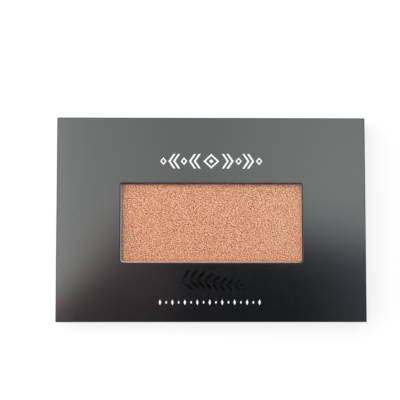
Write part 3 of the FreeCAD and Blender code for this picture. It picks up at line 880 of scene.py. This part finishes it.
def studio_world():
    """Pale surroundings, white where they are seen, that light the object from its left."""
    world = bpy.data.worlds.new("studio")
    bpy.context.scene.world = world
    world.use_nodes = True
    tree = world.node_tree
    direction = add_node(tree, "ShaderNodeTexCoord").outputs["Generated"]
    towards_window = along(tree, (-0.75, 0.10, 0.65), direction)
    window_edge, window_middle = 0.75, 1.0
    room_level, window_level = 0.1, 3.2
    light = remap(tree, towards_window, window_edge, window_middle, room_level, window_level)
    seen = seen_rays(tree)
    unseen = calculate(tree, "SUBTRACT", 1, seen)
    feed(tree, tree.nodes["Background"], {
        "Color": WHITE,
        "Strength": total(tree, seen, product(tree, unseen, light)),
    })


# The light bank's shading. Each row of four carries a distance across the bank, from the first
# to the second number of metres, to a level, from the third to the fourth number.
LIT_FROM_MIDDLE = (0, 0.12, 3.65, 4.80)
LIT_TO_BACK = (0, 0.16, 0, -0.80)
LIT_FAR_LEFT = (0.0913, 0.1413, 0, 1.72)
UNLIT_TO_BACK = (0.0245, 0.0790, 1, 0)
UNLIT_TO_LEFT = (0.0411, 0.0904, 1, 0)
UNLIT_TO_RIGHT = (0.0835, 0.2035, 1, 0.756)
SHARPER_TO_LEFT = (0.075, 0.120, 0, 2.2)
GLOW_TO_LEFT = (-0.09, 0.0, 0.30, 0.0)
GLOW_FROM_SPOT = (0.0, 0.042, 0.44, 0.0)
GLOW_TO_FRONT = (-0.038, -0.012, 0.3, 1.0)
HAZE_TO_RIGHT = (0.06, 0.15, 0.0, 0.25)
HAZE_TO_BACK = (-0.03, 0.02, 0.0, 1.0)
FADE_AT_LEFT = (0.17, 0.27, 1.0, 0.65)
FADE_AT_RIGHT = (0.20, 0.30, 1.0, 0.15)
TINT_TO_RIGHT = (-0.055, 0.025, 0, 1)
# The directions in which dark turns to light at the back and at the left, the middle of that
# turn at the left, and how far the glow lies to the left, both in metres.
BACK_EDGE_DIRECTION = (0.152, 1, 0)
LEFT_EDGE_DIRECTION = (-0.716, 0.698, 0)
LEFT_EDGE_MIDDLE = 0.066
GLOW_OFFSET = 0.033
LIT_COLOUR = (0.965, 1.0, 0.965)
UNLIT_LEFT_COLOUR = (1.45, 0.80, 0.90)
UNLIT_RIGHT_COLOUR = (0.86, 0.98, 1.18)


def light_bank():
    """A wide soft light overhead, lit at its back and left and nearly dark towards the front.

    The lid's satin face mirrors it: pale at the back and left, black at the front."""
    material = bpy.data.materials.new("light_bank")
    material.use_nodes = True
    tree = material.node_tree
    tree.nodes.clear()
    place = add_node(tree, "ShaderNodeTexCoord").outputs["Object"]
    left, right, back = [along(tree, direction, place) for direction in (LEFT, RIGHT, BACK)]

    from_middle = calculate(tree, "ABSOLUTE", right)
    level = total(tree, remap(tree, from_middle, *LIT_FROM_MIDDLE, smooth=False),
                  remap(tree, back, *LIT_TO_BACK, smooth=False),
                  remap(tree, left, *LIT_FAR_LEFT))

    back_edge = along(tree, BACK_EDGE_DIRECTION, place)
    left_edge = along(tree, LEFT_EDGE_DIRECTION, place)
    past_middle = calculate(tree, "SUBTRACT", left_edge, LEFT_EDGE_MIDDLE)
    left_edge = total(tree, left_edge,
                      product(tree, remap(tree, left, *SHARPER_TO_LEFT), past_middle))
    unlit = product(tree, remap(tree, back_edge, *UNLIT_TO_BACK),
                    remap(tree, left_edge, *UNLIT_TO_LEFT),
                    remap(tree, right, *UNLIT_TO_RIGHT))
    lit = calculate(tree, "SUBTRACT", 1, unlit)

    from_spot = calculate(tree, "ABSOLUTE", total(tree, right, GLOW_OFFSET))
    glow = product(tree, remap(tree, from_spot, *GLOW_FROM_SPOT),
                   remap(tree, back, *GLOW_TO_FRONT))
    haze = product(tree, remap(tree, right, *HAZE_TO_RIGHT), remap(tree, back, *HAZE_TO_BACK))
    dim = total(tree, glow, haze, remap(tree, right, *GLOW_TO_LEFT))

    strength = total(tree, product(tree, level, lit), product(tree, unlit, dim))
    fade = product(tree, remap(tree, left, *FADE_AT_LEFT), remap(tree, right, *FADE_AT_RIGHT))
    unlit_colour = mix(tree, remap(tree, right, *TINT_TO_RIGHT),
                       UNLIT_LEFT_COLOUR, UNLIT_RIGHT_COLOUR)
    emission = add_node(tree, "ShaderNodeEmission", {
        "Strength": product(tree, strength, fade),
        "Color": mix(tree, unlit, LIT_COLOUR, unlit_colour),
    })
    add_node(tree, "ShaderNodeOutputMaterial", {"Surface": emission.outputs[0]})
    half, rise = 0.40, 0.640
    bank = stage_sheet("light_bank", level_square(half, FACE.z + rise), material)
    bank.visible_camera = False


def front_flag():
    """A black card that stands in front, so that the edges facing the viewer stay dark."""
    material, tree, shader = new_material("flag_card")
    feed(tree, shader, {
        "Base Color": (0.01, 0.01, 0.01, 1),
        "Roughness": 1.0,
        "Specular IOR Level": 0.0,
    })
    half, y, low, high = 0.8, -0.75, 0.0, 0.62
    corners = [(-half, y, low), (half, y, low), (half, y, high), (-half, y, high)]
    card = stage_sheet("front_flag", corners, material)
    card.visible_camera = False


def product_camera():
    """Nearly overhead, a little in front of the lid's middle and to its left."""
    place = FACE + Vector((-11.53, -30.45, 420.0)) * MM
    aim = FACE + Vector((-3.85, 6.54, 0)) * MM
    data = bpy.data.cameras.new("camera")
    data.lens = 111.75
    data.sensor_width = 36.0
    data.clip_start = 0.01
    data.clip_end = 20.0
    camera = bpy.data.objects.new("camera", data)
    bpy.context.collection.objects.link(camera)
    forward = (aim - place).normalized()
    across = forward.cross(Vector(BACK)).normalized()
    upward = across.cross(forward)
    camera.location = place
    camera.rotation_mode = "QUATERNION"
    camera.rotation_quaternion = Matrix((across, upward, -forward)).transposed().to_quaternion()
    bpy.context.scene.camera = camera


pale_floor()
studio_world()
light_bank()
front_flag()
product_camera()
bpy.context.scene.view_settings.view_transform = "Standard"
